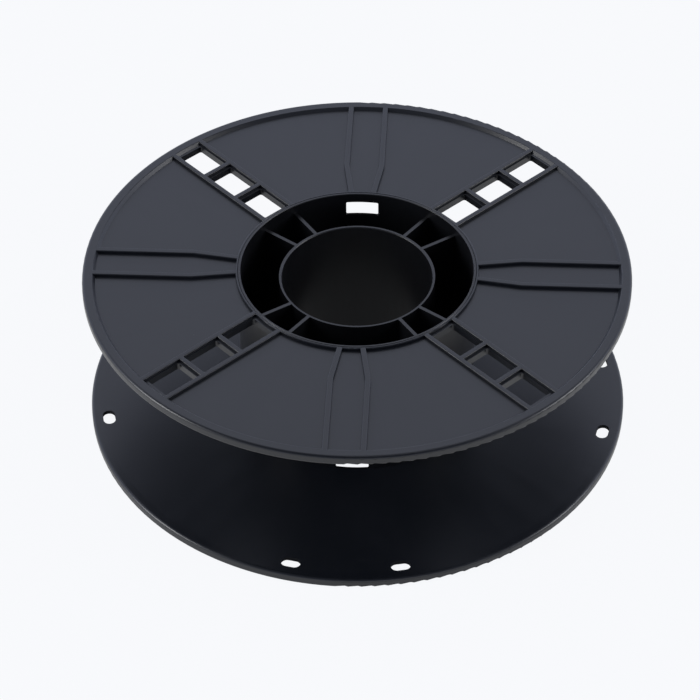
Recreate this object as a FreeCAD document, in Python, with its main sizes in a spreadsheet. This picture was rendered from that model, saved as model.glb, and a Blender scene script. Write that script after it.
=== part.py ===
import FreeCAD, Part
import math
import os

import Sketcher

# An empty moulded spool standing on one flange: a drum with a bore tube and eight webs inside,
# and a ribbed flange pressed on each end. The origin is under the bore, +Z runs along it.

DIMENSIONS = [
    ("overall_width", 63.7, "over the outer faces of both flanges"),
    ("flange_radius", 100.0, "outside radius of both flanges"),
    ("flange_depth", 3.8, "rim, collar and ribs, inner face to outer face"),
    ("panel_depth", 2.6, "top flange's plate between its ribs"),
    ("thin_panel_depth", 1.6, "bottom flange's plate between its ribs"),
    ("rim_corner", 1.1, "corner radius of the rim's outside edge"),
    ("rim_top", 96.3, "radius where the top flange's rim slope meets the outer face"),
    ("rim_foot", 95.3, "radius where the top flange's rim slope meets the plate"),
    ("thin_rim_top", 96.8, "the same on the bottom flange, outer face"),
    ("thin_rim_foot", 96.2, "the same on the bottom flange, plate"),
    ("collar_radius", 44.25, "outside radius of the flange's collar"),
    ("drum_radius", 43.5, "outside radius of the drum, and the flanges' hole"),
    ("drum_wall", 1.0, "wall of the drum"),
    ("bore_radius", 27.5, "inside radius of the bore tube"),
    ("tube_wall", 1.0, "wall of the bore tube"),
    ("lip_chamfer", 0.3, "chamfer at the mouths of the bore tube"),
    ("seam_chamfer", 0.2, "chamfers along the drum's ends and round the flanges' holes"),
    ("web_thickness", 1.3, "webs between the bore tube and the drum"),
    ("web_angle", 9.8, "degrees from each diagonal to a web"),
    ("rib_width", 2.0, "ribs in pairs"),
    ("frame_width", 1.75, "ribs round the windows"),
    ("rib_root", 0.8, "how far a rib reaches down into the plate"),
    ("rib_reach", 97.0, "where the ribs end inside the rim"),
    ("pair_spacing", 13.2, "between the ribs of a pair, outside the kink"),
    ("pair_narrow", 8.2, "between the ribs of a pair, at the collar"),
    ("pair_kink", 60.0, "distance from the axis where a pair starts to narrow"),
    ("frame_spacing", 13.1, "between the side ribs of a row of windows"),
    ("window_first", 52.3, "axis to the middle of a row's first window"),
    ("window_pitch", 17.5, "between the middles of a row's windows"),
    ("window_length", 14.0, "window along its row"),
    ("window_width", 10.4, "window across its row"),
    ("window_corner", 0.9, "corner radius of a window"),
    ("notch_radius", 93.9, "axis to the middle of a rim hole"),
    ("notch_length", 7.2, "rim hole along the rim"),
    ("notch_width", 4.5, "rim hole across the rim"),
    ("notch_angle", 12.0, "degrees from a rib pair's middle to a rim hole"),
    ("slot_width", 12.0, "start slot around the drum"),
    ("slot_height", 6.0, "start slot along the drum"),
    ("slot_corner", 0.5, "corner radius of a start slot"),
    ("slot_clear", 36.0, "distance from the axis where a start slot's cut begins"),
    ("edge_round", 0.3, "rounding of the outer edges of the ribs, collar and rim"),
]
INNER_FACE = "(size.overall_width - size.flange_depth)"

doc = FreeCAD.newDocument("spool")
sheet = doc.addObject("Spreadsheet::Sheet", "size")
for row, (alias, number, note) in enumerate(DIMENSIONS, start=1):
    sheet.set("A%d" % row, alias)
    sheet.set("B%d" % row, str(number))
    sheet.set("C%d" % row, note)
    sheet.setAlias("B%d" % row, alias)
doc.recompute()


def value(expression):
    """The number that an expression in the sheet's names stands for."""
    return float(sheet.evalExpression(expression))


def origin_feature(body, role):
    return next(item for item in body.Origin.OriginFeatures if item.Role == role)


def sketch_on(body, plane, name, offset="0", turn="0"):
    """An empty sketch on one of the body's own origin planes, moved out and turned about its normal."""
    sketch = body.newObject("Sketcher::SketchObject", name)
    sketch.AttachmentSupport = (origin_feature(body, plane), [""])
    sketch.MapMode = "FlatFace"
    sketch.AttachmentOffset = FreeCAD.Placement(FreeCAD.Vector(), FreeCAD.Rotation(FreeCAD.Vector(0, 0, 1), 0))
    sketch.setExpression("AttachmentOffset.Base.z", "(%s) * 1 mm" % offset)
    sketch.setExpression("AttachmentOffset.Rotation.Angle", "(%s) * 1 deg" % turn)
    return sketch


def pin(sketch, geometry, point, x=None, y=None):
    """Hold one point of a sketch at x, y, each an expression in the sheet's names."""
    for kind, axis, place in (("DistanceX", -2, x), ("DistanceY", -1, y)):
        if place is None:
            continue
        number = value(place)
        if abs(number) < 1e-9:
            sketch.addConstraint(Sketcher.Constraint("PointOnObject", geometry, point, axis))
            continue
        ends = (-1, 1, geometry, point) if number > 0 else (geometry, point, -1, 1)
        index = sketch.addConstraint(Sketcher.Constraint(kind, *ends, abs(number)))
        sketch.setExpression("Constraints[%d]" % index, place if number > 0 else "-(%s)" % place)


def outline(sketch, steps):
    """Closed counter-clockwise outline. A step is (x, y), reached by a line from the step before,
    or (x, y, centre x, centre y), reached by an arc about that centre."""
    points = [FreeCAD.Vector(value(step[0]), value(step[1]), 0) for step in steps]
    edges = []
    for index, step in enumerate(steps):
        start = points[index - 1]
        end = points[index]
        if len(step) == 2:
            edges.append(sketch.addGeometry(Part.LineSegment(start, end)))
            continue
        centre = FreeCAD.Vector(value(step[2]), value(step[3]), 0)
        circle = Part.Circle(centre, FreeCAD.Vector(0, 0, 1), centre.distanceToPoint(start))
        angles = [math.atan2(point.y - centre.y, point.x - centre.x) for point in (start, end)]
        edges.append(sketch.addGeometry(Part.ArcOfCircle(circle, *angles)))
    for index, step in enumerate(steps):
        sketch.addConstraint(Sketcher.Constraint("Coincident", edges[index - 1], 2, edges[index], 1))
        pin(sketch, edges[index], 2, step[0], step[1])
    for index, step in enumerate(steps):
        if len(step) == 2:
            continue
        chord = points[index] - points[index - 1]
        if abs(chord.y) >= abs(chord.x):
            pin(sketch, edges[index], 3, x=step[2])
        else:
            pin(sketch, edges[index], 3, y=step[3])


def box(sketch, left, right, low, high):
    outline(sketch, [(left, low), (right, low), (right, high), (left, high)])


def rounded_box(sketch, left, right, low, high, radius):
    """A box with rounded corners. A radius of half its height makes both ends half circles."""
    inside_left = "(%s) + %s" % (left, radius)
    inside_right = "(%s) - %s" % (right, radius)
    inside_low = "(%s) + %s" % (low, radius)
    inside_high = "(%s) - %s" % (high, radius)
    outline(sketch, [
        (inside_right, low),
        (right, inside_low, inside_right, inside_low),
        (right, inside_high),
        (inside_right, high, inside_right, inside_high),
        (inside_left, high),
        (left, inside_high, inside_left, inside_high),
        (left, inside_low),
        (inside_left, low, inside_left, inside_low),
    ])


def ring(sketch, outer, inner):
    """Two circles about the axis."""
    for radius in (outer, inner):
        centre = FreeCAD.Vector()
        circle = sketch.addGeometry(Part.Circle(centre, FreeCAD.Vector(0, 0, 1), value(radius)))
        sketch.addConstraint(Sketcher.Constraint("Coincident", circle, 3, -1, 1))
        index = sketch.addConstraint(Sketcher.Constraint("Radius", circle, value(radius)))
        sketch.setExpression("Constraints[%d]" % index, radius)


def pad(body, sketch, name, length):
    feature = body.newObject("PartDesign::Pad", name)
    feature.Profile = sketch
    feature.setExpression("Length", "(%s) * 1 mm" % length)
    return feature


def pocket(body, sketch, name, length, along_normal):
    """A cut that starts at its sketch and runs along the sketch's normal or against it."""
    feature = body.newObject("PartDesign::Pocket", name)
    feature.Profile = sketch
    feature.Reversed = along_normal
    feature.setExpression("Length", "(%s) * 1 mm" % length)
    return feature


def around(body, features, name, count):
    """The features repeated about the axis, as the body's last step so far."""
    pattern = body.newObject("PartDesign::PolarPattern", name)
    pattern.Originals = features
    pattern.Axis = (origin_feature(body, "Z_Axis"), [""])
    pattern.Angle = 360
    pattern.Occurrences = count
    body.Tip = pattern
    doc.recompute()
    return pattern


def expect_less(before, after, amount, what):
    """Stop if a cut didn't take the volume that it should."""
    taken = before - after
    if abs(taken - amount) > 0.02 * amount:
        raise RuntimeError("%s took %.1f mm3, not %.1f" % (what, taken, amount))


def flange_plate(body, panel, rim_top, rim_foot):
    """Turned section: a rim with rounded corners, a thin plate and a narrow collar round the hole."""
    corner = "size.flange_radius - size.rim_corner"
    upper = "size.flange_depth - size.rim_corner"
    section = sketch_on(body, "XZ_Plane", "section")
    outline(section, [
        (corner, "0"),
        ("size.flange_radius", "size.rim_corner", corner, "size.rim_corner"),
        ("size.flange_radius", upper),
        (corner, "size.flange_depth", corner, upper),
        (rim_top, "size.flange_depth"),
        (rim_foot, panel),
        ("size.collar_radius", panel),
        ("size.collar_radius", "size.flange_depth"),
        ("size.drum_radius", "size.flange_depth"),
        ("size.drum_radius", "0"),
    ])
    plate = body.newObject("PartDesign::Revolution", "plate")
    plate.Profile = section
    plate.ReferenceAxis = (section, ["V_Axis"])
    plate.Angle = 360
    doc.recompute()
    return plate


def rib_pairs(body, panel):
    """Four pairs of ribs from the collar to the rim, which narrow towards the collar."""
    sketch = sketch_on(body, "XY_Plane", "pair_outline", panel + " - size.rib_root")
    half = "size.rib_width / 2"
    wide = "size.pair_spacing / 2"
    narrow = "size.pair_narrow / 2"
    for sign in ("", "-"):
        near, far = (half, "-" + half) if sign else ("-" + half, half)
        outline(sketch, [
            ("size.drum_radius", "%s%s + %s" % (sign, narrow, near)),
            ("size.pair_kink", "%s%s + %s" % (sign, wide, near)),
            ("size.rib_reach", "%s%s + %s" % (sign, wide, near)),
            ("size.rib_reach", "%s%s + %s" % (sign, wide, far)),
            ("size.pair_kink", "%s%s + %s" % (sign, wide, far)),
            ("size.drum_radius", "%s%s + %s" % (sign, narrow, far)),
        ])
    pair = pad(body, sketch, "rib_pair", "size.flange_depth - %s + size.rib_root" % panel)
    around(body, [pair], "rib_pairs", 4)


def window_frames(body):
    """Four rows on the diagonals: two side ribs and two cross ribs frame three windows."""
    depth = "size.flange_depth - size.panel_depth + size.rib_root"
    half = "size.frame_width / 2"
    side = "size.frame_spacing / 2"
    side_sketch = sketch_on(body, "XY_Plane", "side_rib_outline", "size.panel_depth - size.rib_root", "45")
    for sign in ("", "-"):
        middle = "%s%s" % (sign, side)
        box(side_sketch, "size.drum_radius", "size.rib_reach",
            "%s - %s" % (middle, half), "%s + %s" % (middle, half))
    sides = pad(body, side_sketch, "side_ribs", depth)
    doc.recompute()
    cross_sketch = sketch_on(body, "XY_Plane", "cross_rib_outline", "size.panel_depth - size.rib_root", "45")
    for count in (0.5, 1.5):
        middle = "size.window_first + %.1f * size.window_pitch" % count
        box(cross_sketch, "%s - %s" % (middle, half), "%s + %s" % (middle, half), "-%s" % side, side)
    crosses = pad(body, cross_sketch, "cross_ribs", depth)
    doc.recompute()
    around(body, [sides, crosses], "window_frames", 4)


def windows(body):
    """Three windows in each row, cut through the plate a little inside their frame."""
    sketch = sketch_on(body, "XY_Plane", "window_outline", "0", "45")
    for count in range(3):
        middle = "size.window_first + %d * size.window_pitch" % count
        rounded_box(sketch, "%s - size.window_length / 2" % middle, "%s + size.window_length / 2" % middle,
                    "-size.window_width / 2", "size.window_width / 2", "size.window_corner")
    before = body.Shape.Volume
    cut = pocket(body, sketch, "window_row", "size.flange_depth", True)
    doc.recompute()
    around(body, [cut], "windows", 4)
    corner = value("size.window_corner")
    area = value("size.window_length * size.window_width") - (4 - math.pi) * corner ** 2
    expect_less(before, body.Shape.Volume, 12 * area * value("size.panel_depth"), "windows")


def rim_holes(body):
    """Eight long holes just inside the rim, two beside each rib pair."""
    cuts = []
    before = body.Shape.Volume
    for name, sign in (("left", "-"), ("right", "")):
        sketch = sketch_on(body, "XY_Plane", name + "_hole_outline", "0", "%s(size.notch_angle)" % sign)
        low = "size.notch_radius - size.notch_width / 2"
        high = "size.notch_radius + size.notch_width / 2"
        end = "size.notch_length / 2 - size.notch_width / 2"
        outline(sketch, [
            (low, "-(%s)" % end),
            (high, "-(%s)" % end, "size.notch_radius", "-(%s)" % end),
            (high, end),
            (low, end, "size.notch_radius", end),
        ])
        cuts.append(pocket(body, sketch, name + "_hole", "size.flange_depth", True))
        doc.recompute()
    around(body, cuts, "rim_holes", 4)
    width = value("size.notch_width")
    area = width * (value("size.notch_length") - width) + math.pi * width ** 2 / 4
    expect_less(before, body.Shape.Volume, 8 * area * value("size.thin_panel_depth"), "rim holes")


def dress(body, kind, name, edges, size_property, size):
    """A fillet or chamfer along the numbered edges, as the body's last step so far."""
    last = body.Tip
    feature = body.newObject(kind, name)
    feature.Base = (last, ["Edge%d" % number for number in edges])
    feature.setExpression(size_property, size + " * 1 mm")
    body.Tip = feature
    doc.recompute()


def circles(body, radius, height=None):
    """Numbers of the body's whole circular edges with that radius, all or those at that height."""
    found = []
    for number, edge in enumerate(body.Shape.Edges, start=1):
        if edge.Curve.TypeId != "Part::GeomCircle" or not edge.Closed:
            continue
        if abs(edge.Curve.Radius - value(radius)) > 1e-3:
            continue
        if height is None or abs(edge.Curve.Center.z - value(height)) < 1e-3:
            found.append(number)
    return found


def ease_outer_edges(body):
    """Small rounding along the ribs, collar and rim on the outer face, and a chamfer at its hole."""
    hole = circles(body, "size.drum_radius", "size.flange_depth")
    whole = hole + circles(body, "size.flange_radius - size.rim_corner", "size.flange_depth")
    top = value("size.flange_depth")
    raised = []
    for number, edge in enumerate(body.Shape.Edges, start=1):
        extent = edge.BoundBox
        if min(extent.ZMin, extent.ZMax) > top - 1e-6 and number not in whole:
            raised.append(number)
    dress(body, "PartDesign::Fillet", "eased_edges", raised, "Radius", "size.edge_round")
    hole = circles(body, "size.drum_radius", "size.flange_depth")
    dress(body, "PartDesign::Chamfer", "hole_chamfer", hole, "Size", "size.seam_chamfer")


def flange(label, panel, rim_top, rim_foot):
    """A flange lying on its inner face at z = 0, without windows or holes."""
    body = doc.addObject("PartDesign::Body", label)
    body.Label = label
    flange_plate(body, panel, rim_top, rim_foot)
    rib_pairs(body, panel)
    return body


def top_flange():
    body = flange("top_flange", "size.panel_depth", "size.rim_top", "size.rim_foot")
    window_frames(body)
    windows(body)
    ease_outer_edges(body)
    body.setExpression("Placement.Base.z", INNER_FACE + " * 1 mm")
    return body


def bottom_flange():
    """The other end: no windows, but holes inside the rim. It is turned over, outer face down."""
    body = flange("bottom_flange", "size.thin_panel_depth", "size.thin_rim_top", "size.thin_rim_foot")
    rim_holes(body)
    ease_outer_edges(body)
    body.Placement = FreeCAD.Placement(FreeCAD.Vector(), FreeCAD.Rotation(FreeCAD.Vector(1, 0, 0), 180))
    body.setExpression("Placement.Base.z", "size.flange_depth * 1 mm")
    return body


def start_slots(body):
    """A slot through the drum wall against each flange, on opposite sides, for the first turn."""
    before = body.Shape.Volume
    sides = (
        ("top", "-size.slot_clear", "%s - size.slot_height" % INNER_FACE, INNER_FACE, False),
        ("bottom", "size.slot_clear", "size.flange_depth", "size.flange_depth + size.slot_height", True),
    )
    for name, offset, low, high, outward in sides:
        sketch = sketch_on(body, "XZ_Plane", name + "_slot_outline", offset)
        rounded_box(sketch, "-size.slot_width / 2", "size.slot_width / 2", low, high, "size.slot_corner")
        body.Tip = pocket(body, sketch, name + "_slot", "size.drum_radius - size.slot_clear + 1", outward)
        doc.recompute()
    corner = value("size.slot_corner")
    area = value("size.slot_width * size.slot_height") - (4 - math.pi) * corner ** 2
    expect_less(before, body.Shape.Volume, 2 * area * value("size.drum_wall"), "start slots")


def hub():
    """Drum, bore tube and webs, moulded as one piece. The tube and webs stop at the inner faces."""
    body = doc.addObject("PartDesign::Body", "hub")
    body.Label = "hub"
    depth = "size.overall_width - 2 * size.flange_depth"
    drum_sketch = sketch_on(body, "XY_Plane", "drum_outline")
    ring(drum_sketch, "size.drum_radius", "size.drum_radius - size.drum_wall")
    pad(body, drum_sketch, "drum", "size.overall_width")
    doc.recompute()
    webs = []
    for name, sign in (("left", "+"), ("right", "-")):
        sketch = sketch_on(body, "XY_Plane", name + "_web_outline", "size.flange_depth",
                           "45 %s size.web_angle" % sign)
        box(sketch, "size.bore_radius + size.tube_wall / 2", "size.drum_radius - size.drum_wall / 2",
            "-size.web_thickness / 2", "size.web_thickness / 2")
        webs.append(pad(body, sketch, name + "_web", depth))
        doc.recompute()
    around(body, webs, "webs", 4)
    tube_sketch = sketch_on(body, "XY_Plane", "tube_outline", "size.flange_depth")
    ring(tube_sketch, "size.bore_radius + size.tube_wall", "size.bore_radius")
    body.Tip = pad(body, tube_sketch, "bore_tube", depth)
    doc.recompute()
    start_slots(body)
    mouths = circles(body, "size.bore_radius")
    dress(body, "PartDesign::Chamfer", "mouth_chamfers", mouths, "Size", "size.lip_chamfer")
    ends = []
    for radius in ("size.drum_radius", "size.drum_radius - size.drum_wall"):
        for height in ("0", "size.overall_width"):
            ends += circles(body, radius, height)
    dress(body, "PartDesign::Chamfer", "end_chamfers", ends, "Size", "size.seam_chamfer")
    return body


subparts = [hub(), top_flange(), bottom_flange()]
doc.recompute()

for item in doc.Objects:
    if "Invalid" in item.State or "Error" in item.State:
        raise RuntimeError("%s failed: %s" % (item.Name, item.State))
for subpart in subparts:
    if subpart.Shape.isNull() or not subpart.Shape.isValid() or len(subpart.Shape.Solids) != 1:
        raise RuntimeError("%s is not one valid solid" % subpart.Label)

os.makedirs("parts", exist_ok=True)
for subpart in subparts:
    subpart.Shape.exportStep("parts/%s.step" % subpart.Label)
    extent = subpart.Shape.optimalBoundingBox()
    print("%s: %.1f cm3, z %.2f to %.2f mm, radius %.2f mm" % (
        subpart.Label, subpart.Shape.Volume / 1000, extent.ZMin, extent.ZMax, extent.XMax))
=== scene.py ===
import bpy
import math
from mathutils import Matrix, Vector

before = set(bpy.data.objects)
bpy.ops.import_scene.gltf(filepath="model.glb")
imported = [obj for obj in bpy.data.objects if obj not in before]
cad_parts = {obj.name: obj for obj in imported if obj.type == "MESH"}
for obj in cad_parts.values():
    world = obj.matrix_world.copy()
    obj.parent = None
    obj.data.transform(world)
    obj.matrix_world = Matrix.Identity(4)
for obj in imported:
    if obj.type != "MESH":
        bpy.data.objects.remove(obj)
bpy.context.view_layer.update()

# The camera looks down on the spool from in front, a little to the right of a rib pair.
# The lens is long, so the two flanges keep nearly the same width.
camera_data = bpy.data.cameras.new("camera")
camera_data.sensor_width = 36
camera_data.lens = 157.5
camera_data.shift_x = -0.0104
camera_data.shift_y = -0.0307
camera = bpy.data.objects.new("camera", camera_data)
bpy.context.scene.collection.objects.link(camera)
bpy.context.scene.camera = camera
aim = Vector((0, 0, 0.0341))
view_distance = 1.1343
view_elevation = math.radians(41.4)
view_turn = math.radians(2.8)
view_roll = math.radians(-0.26)
back = Vector((
    math.sin(view_turn) * math.cos(view_elevation),
    -math.cos(view_turn) * math.cos(view_elevation),
    math.sin(view_elevation),
))
turned = back.to_track_quat("Z", "Y").to_matrix().to_4x4()
camera.matrix_world = (
    Matrix.Translation(aim + view_distance * back) @ turned @ Matrix.Rotation(view_roll, 4, "Z")
)
bpy.context.scene.view_settings.view_transform = "Standard"


# Shader maths for every material below: a Wire wraps one node socket, so that sums and
# products of masks are written as plain expressions.
class Wire:
    def __init__(self, tree, socket):
        self.tree = tree
        self.socket = socket

    def _math(self, operation, first, second=None):
        inputs = {0: first} if second is None else {0: first, 1: second}
        return add_node(self.tree, "ShaderNodeMath", {"operation": operation}, inputs)

    def __add__(self, other):
        return self._math("ADD", self, other)

    def __radd__(self, other):
        return self._math("ADD", other, self)

    def __sub__(self, other):
        return self._math("SUBTRACT", self, other)

    def __rsub__(self, other):
        return self._math("SUBTRACT", other, self)

    def __mul__(self, other):
        return self._math("MULTIPLY", self, other)

    def __rmul__(self, other):
        return self._math("MULTIPLY", other, self)

    def above(self, low, high):
        """0 below low, 1 above high, a smooth step between them."""
        settings = {"interpolation_type": "SMOOTHSTEP"}
        inputs = {"Value": self, "From Min": low, "From Max": high}
        return add_node(self.tree, "ShaderNodeMapRange", settings, inputs)


def add_node(tree, kind, settings=None, inputs=None, output=0):
    """Any other node: its settings are set first, then the values or links of its sockets."""
    node = tree.nodes.new(kind)
    for name, setting in (settings or {}).items():
        setattr(node, name, setting)
    for name, given in (inputs or {}).items():
        if isinstance(given, Wire):
            tree.links.new(given.socket, node.inputs[name])
        else:
            node.inputs[name].default_value = given
    return Wire(tree, node.outputs[output])


def other_output(wire, name):
    """Another output of the node that a Wire comes from."""
    return Wire(wire.tree, wire.socket.node.outputs[name])


def end_shader(tree, shader, kind="ShaderNodeOutputMaterial"):
    """The output node of a material or a world, fed by its last shader."""
    end = tree.nodes.new(kind)
    tree.links.new(shader.socket, end.inputs["Surface"])


def clear_tree(owner):
    """The empty node tree of a material or a world."""
    owner.use_nodes = True
    owner.node_tree.nodes.clear()
    return owner.node_tree


def mixed(tree, factor, first, second):
    """Two colours blended by a factor."""
    inputs = {"Factor": factor, "A": first, "B": second}
    return add_node(tree, "ShaderNodeMix", {"data_type": "RGBA"}, inputs, output=2)


def plastic(tree, colour, rough, normal):
    """The one shader of a black plastic."""
    inputs = {"Base Color": colour, "Roughness": rough, "Normal": normal, "IOR": 1.5}
    return add_node(tree, "ShaderNodeBsdfPrincipled", inputs=inputs)


def wear(node, material):
    """Gives a CAD node its one material."""
    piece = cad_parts[node]
    piece.data.materials.clear()
    piece.data.materials.append(material)


# The studio: a white table that the spool stands on, under one large soft box overhead and a
# little behind, and two tall ones at the sides that draw light lines along the rim.
table_mesh = bpy.data.meshes.new("table")
table_half = 12.0
corner_signs = ((-1, -1), (1, -1), (1, 1), (-1, 1))
table_corners = [(x * table_half, y * table_half, 0) for x, y in corner_signs]
table_mesh.from_pydata(table_corners, [], [(0, 1, 2, 3)])
table = bpy.data.objects.new("table", table_mesh)
bpy.context.scene.collection.objects.link(table)
table_white = bpy.data.materials.new("table_white")
tree = clear_tree(table_white)
paper = add_node(tree, "ShaderNodeBsdfDiffuse", inputs={"Color": (0.78, 0.79, 0.82, 1)})
glow_inputs = {"Color": (0.965, 0.975, 1.0, 1), "Strength": 1.0}
glow = add_node(tree, "ShaderNodeEmission", inputs=glow_inputs)
seen = add_node(tree, "ShaderNodeLightPath")
glossy_seen = other_output(seen, "Is Glossy Ray")
table_spot = add_node(tree, "ShaderNodeTexCoord", output=3)
table_reach = add_node(tree, "ShaderNodeVectorMath", {"operation": "LENGTH"}, {0: table_spot}, output=1)

# Under the spool the table's glow, as mirrors see it, is taken away as painted shadow, and a little of
# it is painted back inside the bore as light that falls down the bore.
painted_bore_light = 0.18
in_bore = 1.0 - table_reach.above(0.026, 0.028)
painted_shadow_and_bore_light = table_reach.above(0.092, 0.106) + in_bore * painted_bore_light
table_glow = 0.95
glowing = seen * table_glow + glossy_seen * painted_shadow_and_bore_light * table_glow
table_look = add_node(tree, "ShaderNodeMixShader", inputs={0: glowing, 1: paper, 2: glow})
end_shader(tree, table_look)
table_mesh.materials.append(table_white)

# The air around it: mirror rays see a white sweep that is brightest low down and behind, the
# camera sees an even backdrop, and everything else gets a dim fill.
world = bpy.data.worlds.new("studio_air")
bpy.context.scene.world = world
tree = clear_tree(world)
direction = add_node(tree, "ShaderNodeTexCoord")
split = add_node(tree, "ShaderNodeSeparateXYZ", inputs={"Vector": direction})
upward = other_output(split, "Z")
behind = other_output(split, "Y")
fade_inputs = {"Value": upward, "From Min": 0.52, "From Max": 0.84, "To Min": 1.18, "To Max": 0.35}
fade = add_node(tree, "ShaderNodeMapRange", inputs=fade_inputs)
room_in_front = 0.25
room = room_in_front + behind.above(-0.30, 0.20) * (1 - room_in_front)
low = 1.0 - upward.above(0.05, 0.30)
sweep_light = fade * add_node(tree, "ShaderNodeMath", {"operation": "MAXIMUM"}, {0: room, 1: low})


def air_light(colour, strength):
    """One light of the surroundings."""
    return add_node(tree, "ShaderNodeBackground", inputs={"Color": colour, "Strength": strength})


air = air_light((0.9, 0.93, 1.0, 1), 0.30)
sweep = air_light((0.90, 0.97, 1.22, 1), sweep_light)
backdrop = air_light((0.950, 0.965, 1.0, 1), 1.0)
seen = add_node(tree, "ShaderNodeLightPath")
glossy_seen = other_output(seen, "Is Glossy Ray")
unseen_look = add_node(tree, "ShaderNodeMixShader", inputs={0: glossy_seen, 1: air, 2: sweep})
world_look = add_node(tree, "ShaderNodeMixShader", inputs={0: seen, 1: unseen_look, 2: backdrop})
end_shader(tree, world_look, "ShaderNodeOutputWorld")


def soft_box(name, place, size, watts):
    """A rectangular white lamp that faces the spool."""
    lamp = bpy.data.lights.new(name, "AREA")
    lamp.shape = "RECTANGLE"
    lamp.size = size[0]
    lamp.size_y = size[1]
    lamp.energy = watts
    holder = bpy.data.objects.new(name, lamp)
    bpy.context.scene.collection.objects.link(holder)
    facing = (Vector(place) - aim).to_track_quat("Z", "Y").to_matrix().to_4x4()
    holder.matrix_world = Matrix.Translation(place) @ facing


soft_box("overhead_box", (0.0, 0.75, 1.20), (1.6, 0.9), 1.5)
soft_box("left_box", (-1.25, -0.35, 0.45), (0.4, 0.8), 9)
soft_box("right_box", (1.25, -0.1, 0.45), (0.4, 0.8), 6)

# The flanges: thin discs of injection-moulded black plastic with a fine satin grain, a slightly
# glossier rim, faint flow lines that run out from the hub, and light handling marks.
flange_black = bpy.data.materials.new("flange_black")
tree = clear_tree(flange_black)
place = add_node(tree, "ShaderNodeTexCoord", output=3)
axes = add_node(tree, "ShaderNodeSeparateXYZ", inputs={"Vector": place})
height = other_output(axes, "Z")
across = other_output(axes, "Y")
flat_place = add_node(tree, "ShaderNodeCombineXYZ", inputs={"X": axes, "Y": across})
reach = add_node(tree, "ShaderNodeVectorMath", {"operation": "LENGTH"}, {0: flat_place}, output=1)
outward = add_node(tree, "ShaderNodeVectorMath", {"operation": "NORMALIZE"}, {0: flat_place})
bearing = add_node(tree, "ShaderNodeMath", {"operation": "ARCTAN2"}, {0: across, 1: axes})


def noise(vector, scale, detail, **more):
    """A noise texture of the tree in hand. Its roughness is Blender's own unless it is given."""
    inputs = {"Vector": vector, "Scale": scale, "Detail": detail}
    inputs.update(more)
    return add_node(tree, "ShaderNodeTexNoise", inputs=inputs)


def stretched(turn, scale):
    """The place turned about Z and scaled, so that noise on it is drawn out."""
    inputs = {"Vector": place, "Rotation": (0.0, 0.0, turn), "Scale": scale}
    return add_node(tree, "ShaderNodeMapping", inputs=inputs)


def specks(scale, inner, outer):
    """Small round spots in about a fifth of the cells of a grid of that scale."""
    cells = add_node(tree, "ShaderNodeTexVoronoi", inputs={"Vector": place, "Scale": scale})
    return (1.0 - cells.above(inner, outer)) * other_output(cells, "Color").above(0.80, 0.84)


# Plastic ran from the hub to the rim: streaks that are long in radius and short in bearing.
run_axes = {"X": bearing * 14.0, "Y": reach * 22.0, "Z": height * 8.0}
run = add_node(tree, "ShaderNodeCombineXYZ", inputs=run_axes)
flow = noise(run, 1.0, 5.0, Roughness=0.55)
tone = noise(place, 28.0, 6.0, Roughness=0.6)
grain = noise(place, 2600.0, 3.0, Roughness=0.6)

# Handling marks: thin scratches in two directions, kept to a few patches, and a little dust.
scratch_one = noise(stretched(0.6, (60.0, 1400.0, 60.0)), 1.0, 2.0)
scratch_two = noise(stretched(-0.9, (45.0, 1700.0, 45.0)), 1.0, 2.0)
patches = noise(place, 45.0, 2.0)
scratches = scratch_one.above(0.68, 0.74) + scratch_two.above(0.70, 0.76)
scuffs = scratches * patches.above(0.52, 0.66)
dust = specks(160.0, 0.022, 0.040)

# The rim is a full turn: its rounding is shaded from the distance to the corner centres.
lower_middle = 0.0019
flange_step = 0.0599
half_straight = 0.0008
corner_centre = 0.0989
middle = height.above(0.030, 0.031) * flange_step + lower_middle
above_middle = height - middle
straight_inputs = {"Value": above_middle, "Min": -half_straight, "Max": half_straight}
kept_within = add_node(tree, "ShaderNodeClamp", inputs=straight_inputs)
lift = add_node(tree, "ShaderNodeCombineXYZ", inputs={"Z": above_middle - kept_within})
swell_inputs = {0: outward, "Scale": reach - corner_centre}
swell = add_node(tree, "ShaderNodeVectorMath", {"operation": "SCALE"}, swell_inputs)
rounding = add_node(tree, "ShaderNodeVectorMath", {"operation": "ADD"}, {0: swell, 1: lift})
round_normal = add_node(tree, "ShaderNodeVectorMath", {"operation": "NORMALIZE"}, {0: rounding})
on_rounding = reach.above(0.09888, 0.09896)
mesh_normal = add_node(tree, "ShaderNodeNewGeometry", output=1)
facing_inputs = {0: on_rounding, 4: mesh_normal, 5: round_normal}
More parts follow.
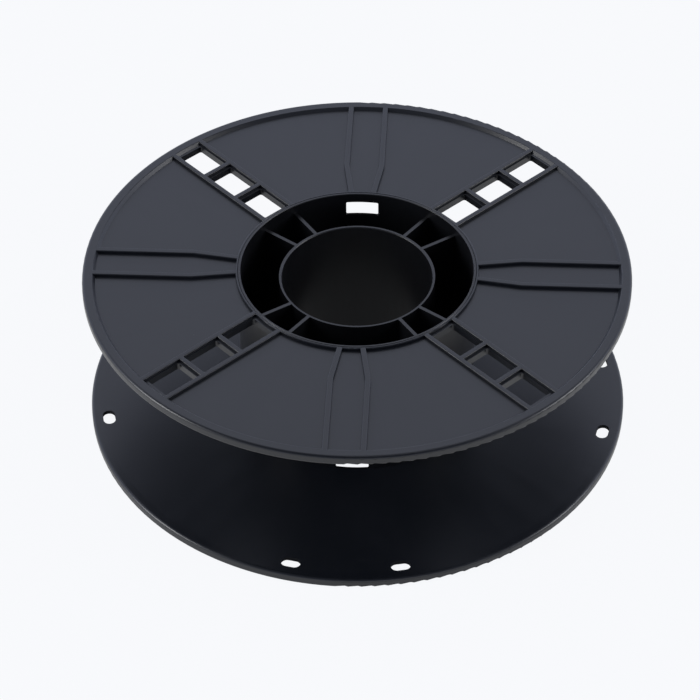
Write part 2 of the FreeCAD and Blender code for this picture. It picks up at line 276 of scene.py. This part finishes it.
facing = add_node(tree, "ShaderNodeMix", {"data_type": "VECTOR"}, facing_inputs, output=1)
grain_inputs = {"Strength": 0.25, "Distance": 0.00003, "Height": grain, "Normal": facing}
bump = add_node(tree, "ShaderNodeBump", inputs=grain_inputs)

flange_dark = (0.006, 0.0075, 0.0115, 1)
flange_light = (0.008, 0.0095, 0.014, 1)
base = mixed(tree, tone.above(0.3, 0.7), flange_dark, flange_light)
worn = mixed(tree, scuffs * 0.35, base, (0.03, 0.031, 0.036, 1))
dusty = mixed(tree, dust * 0.5, worn, (0.16, 0.16, 0.17, 1))
rim_zone = reach.above(0.0962, 0.0966)
satin = 0.27 + grain * 0.08 + tone * 0.06 + flow.above(0.35, 0.75) * 0.03
rough = satin + scuffs * 0.10 + dust * 0.4 - rim_zone * 0.03
end_shader(tree, plastic(tree, dusty, rough, bump))
wear("top_flange", flange_black)
wear("bottom_flange", flange_black)

# The hub: drum, bore tube and webs in the same black plastic, a little glossier because
# it was drawn off a polished core, with fine draw lines along the axis and a few specks of lint.
hub_black = bpy.data.materials.new("hub_black")
tree = clear_tree(hub_black)
place = add_node(tree, "ShaderNodeTexCoord", output=3)
drawn = add_node(tree, "ShaderNodeMapping", inputs={"Vector": place, "Scale": (900.0, 900.0, 14.0)})
draw_lines = noise(drawn, 1.0, 3.0, Roughness=0.6)
cloud = noise(place, 40.0, 5.0, Roughness=0.6)
fine = noise(place, 3000.0, 2.0)
lint = specks(130.0, 0.030, 0.052)
base = mixed(tree, cloud.above(0.3, 0.7), (0.004, 0.0045, 0.006, 1), (0.006, 0.0065, 0.0085, 1))
linty = mixed(tree, lint * 0.7, base, (0.20, 0.20, 0.21, 1))
rough = 0.26 + draw_lines * 0.10 + cloud * 0.06 + lint * 0.4
relief = draw_lines * 0.6 + fine * 0.4
bump = add_node(tree, "ShaderNodeBump", inputs={"Strength": 0.2, "Distance": 0.00002, "Height": relief})
end_shader(tree, plastic(tree, linty, rough, bump))
wear("hub", hub_black)
